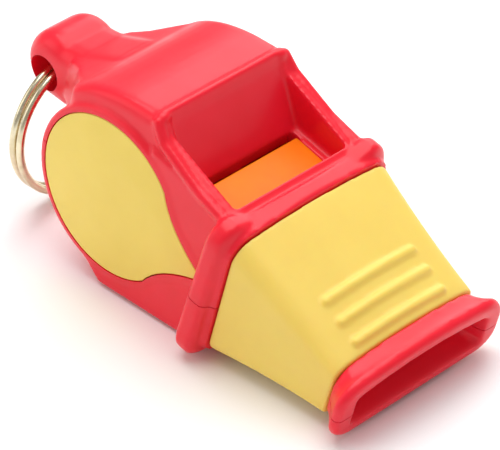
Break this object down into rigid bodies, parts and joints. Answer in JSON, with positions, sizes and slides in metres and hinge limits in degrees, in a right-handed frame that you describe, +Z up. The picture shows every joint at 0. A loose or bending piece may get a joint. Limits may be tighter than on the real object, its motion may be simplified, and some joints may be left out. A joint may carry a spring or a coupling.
{
  "type": "training whistle",
  "caption": "Pealess training whistle: split shell with sound window, side inlays, soft grip sleeve on a flared mouthpiece and a swinging split ring on the rear tab.",
  "frame": {"origin": "centre of the keel's flat foot, on the surface the whistle stands on", "axes": "+X towards the mouth, which dips 14 degrees below it, +Y across, +Z up out of the sound window"},
  "size_m": [0.055, 0.026, 0.0245],
  "materials": {
    "shell_red": "moulded ABS, glossy, rounded edges",
    "inlay_yellow": "moulded plastic, satin",
    "grip_yellow": "soft moulded elastomer, satin",
    "ring_steel": "nickel-plated spring steel wire"
  },
  "bodies": {
    "body": {"upper_shell": "shell_red", "lower_shell": "shell_red", "airway_block": "inlay_yellow", "chamber_divider": "inlay_yellow", "left_side_cap": "inlay_yellow", "right_side_cap": "inlay_yellow", "mouth_grip": "grip_yellow"},
    "ring": {"split_ring": "ring_steel"}
  },
  "joints": [
    {"name": "ring_swing", "type": "hinge", "parent": "body", "child": "ring", "pos_m": [-0.02043, 0, 0.01684], "axis": [0, 1, 0], "range_deg": [-25, 185]}
  ]
}
